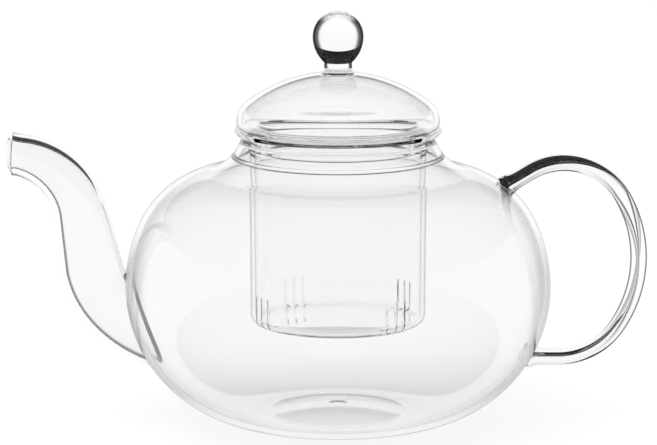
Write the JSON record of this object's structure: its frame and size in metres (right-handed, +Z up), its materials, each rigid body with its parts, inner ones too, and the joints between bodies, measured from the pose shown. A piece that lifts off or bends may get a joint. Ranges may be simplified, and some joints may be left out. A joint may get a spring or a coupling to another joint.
{
  "type": "glass teapot",
  "caption": "Clear glass teapot with a squat globe, S-shaped spout, bent tube handle, lift-out slotted infuser and ball-knobbed dome lid.",
  "frame": {"origin": "centre of the base ring, on the surface the pot stands on", "axes": "+Z up along the pot's axis, +X towards the handle, -X towards the spout"},
  "size_m": [0.2471, 0.164, 0.159],
  "materials": {
    "blown_glass": "clear, fire polished",
    "solid_glass": "clear, fire polished"
  },
  "bodies": {
    "pot": {"pot_body": "blown_glass", "spout": "blown_glass", "handle": "solid_glass"},
    "infuser": {"infuser": "blown_glass"},
    "lid": {"lid_dome": "blown_glass", "lid_knob": "solid_glass"}
  },
  "joints": [
    {"name": "infuser_lift", "type": "slide", "parent": "pot", "child": "infuser", "axis": [0, 0, 1], "range_m": [0, 0.09]},
    {"name": "lid_lift", "type": "slide", "parent": "infuser", "child": "lid", "axis": [0, 0, 1], "range_m": [0, 0.05]}
  ]
}
